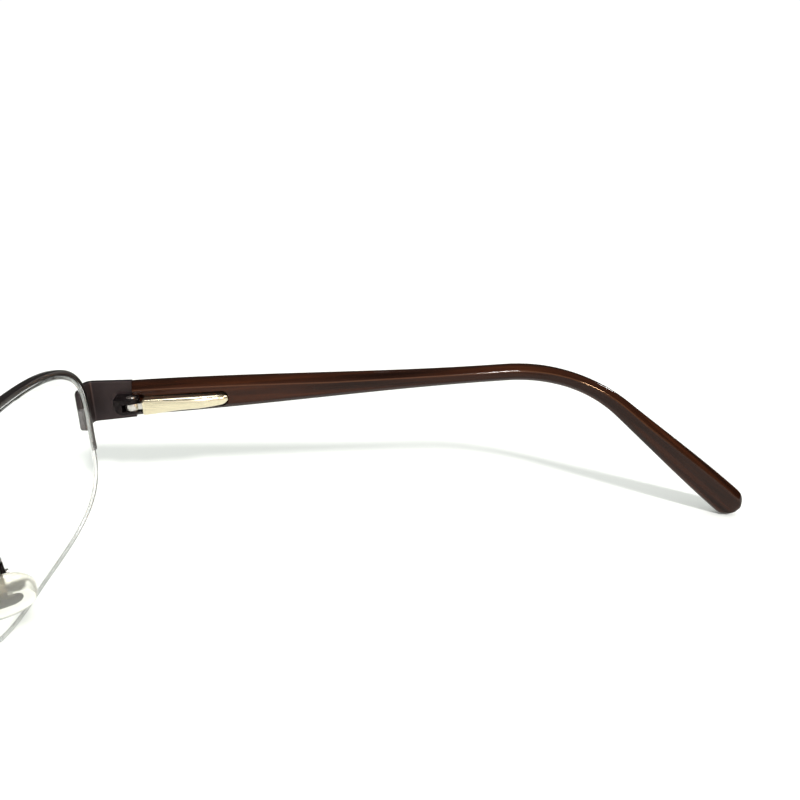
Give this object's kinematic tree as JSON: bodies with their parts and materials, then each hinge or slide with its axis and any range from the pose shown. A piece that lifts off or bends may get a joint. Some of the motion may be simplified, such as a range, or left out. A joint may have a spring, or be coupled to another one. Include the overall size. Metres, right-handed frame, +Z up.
{
  "type": "half rim eyeglasses",
  "caption": "Half rim spectacles: metal upper rims, clear lenses held by nylon cord, spring hinged brown plastic temples and clear nose pads.",
  "frame": {"origin": "on the table under the middle of the whole box, glasses standing open on lens bottoms and temple tips", "axes": "+X towards the wearer's left temple, +Y from the front towards the temple tips, +Z up from the table"},
  "size_m": [0.1358, 0.1405, 0.0317],
  "materials": {
    "rim_metal": "satin",
    "end_metal": "matte",
    "hinge_metal": "satin",
    "steel": "satin",
    "brass": "satin",
    "casing_metal": "polished",
    "core_metal": "satin",
    "lens": "clear",
    "clear_nylon": "clear",
    "temple_plastic": "gloss",
    "silicone": "satin"
  },
  "bodies": {
    "root": {"bridge": "rim_metal", "left_eyewire": "rim_metal", "left_rim_liner": "clear_nylon", "left_lens": "lens", "left_lens_cord": "clear_nylon", "left_end_piece": "end_metal", "left_hinge_fork": "hinge_metal", "left_hinge_screw": "steel", "left_pad_arm": "rim_metal", "left_pad_box": "hinge_metal", "left_pad_screw": "steel", "right_eyewire": "rim_metal", "right_rim_liner": "clear_nylon", "right_lens": "lens", "right_lens_cord": "clear_nylon", "right_end_piece": "end_metal", "right_hinge_fork": "hinge_metal", "right_hinge_screw": "steel", "right_pad_arm": "rim_metal", "right_pad_box": "hinge_metal", "right_pad_screw": "steel"},
    "left_hinge_carrier": {"left_hinge_washers": "steel"},
    "left_tongue": {"left_hinge_tongue": "steel", "left_spring_retainer": "brass"},
    "left_temple": {"left_temple": "temple_plastic", "left_core_wire": "core_metal", "left_spring_casing": "casing_metal", "left_spring_bush": "brass", "left_hinge_spring": "steel"},
    "left_pad": {"left_pad_lug": "steel", "left_nose_pad": "silicone"},
    "right_hinge_carrier": {"right_hinge_washers": "steel"},
    "right_tongue": {"right_hinge_tongue": "steel", "right_spring_retainer": "brass"},
    "right_temple": {"right_temple": "temple_plastic", "right_core_wire": "core_metal", "right_spring_casing": "casing_metal", "right_spring_bush": "brass", "right_hinge_spring": "steel"},
    "right_pad": {"right_pad_lug": "steel", "right_nose_pad": "silicone"}
  },
  "joints": [
    {"name": "left_temple_fold", "type": "hinge", "parent": "root", "child": "left_hinge_carrier", "pos_m": [0.0643, -0.05636, 0.0209], "axis": [0, -0.1134, 0.9936], "range_deg": [0, 90]},
    {"name": "left_spring_flex", "type": "hinge", "parent": "left_hinge_carrier", "child": "left_tongue", "pos_m": [0.0643, -0.05636, 0.0209], "axis": [0, -0.1134, 0.9936], "range_deg": [-12, 0], "stiffness_Nm_per_rad": 0.2},
    {"name": "left_casing_slide", "type": "slide", "parent": "left_tongue", "child": "left_temple", "axis": [0, 0.9936, 0.1134], "range_m": [0, 0.001], "deforming": ["left_hinge_spring"]},
    {"name": "left_pad_rock", "type": "hinge", "parent": "root", "child": "left_pad", "pos_m": [0.01261, -0.06276, 0.01641], "axis": [0.5, 0.8604, 0.0982], "range_deg": [-10, 10]},
    {"name": "right_temple_fold", "type": "hinge", "parent": "root", "child": "right_hinge_carrier", "pos_m": [-0.0643, -0.05636, 0.0209], "axis": [0, 0.1134, -0.9936], "range_deg": [0, 84]},
    {"name": "right_spring_flex", "type": "hinge", "parent": "right_hinge_carrier", "child": "right_tongue", "pos_m": [-0.0643, -0.05636, 0.0209], "axis": [0, 0.1134, -0.9936], "range_deg": [-12, 0], "stiffness_Nm_per_rad": 0.2},
    {"name": "right_casing_slide", "type": "slide", "parent": "right_tongue", "child": "right_temple", "axis": [0, 0.9936, 0.1134], "range_m": [0, 0.001], "deforming": ["right_hinge_spring"]},
    {"name": "right_pad_rock", "type": "hinge", "parent": "root", "child": "right_pad", "pos_m": [-0.01261, -0.06276, 0.01641], "axis": [0.5, -0.8604, -0.0982], "range_deg": [-10, 10]}
  ],
  "couplings": [
    {"joint": "left_casing_slide", "follows": "left_spring_flex", "m_per_rad": -0.0046},
    {"joint": "right_casing_slide", "follows": "right_spring_flex", "m_per_rad": -0.0046}
  ]
}
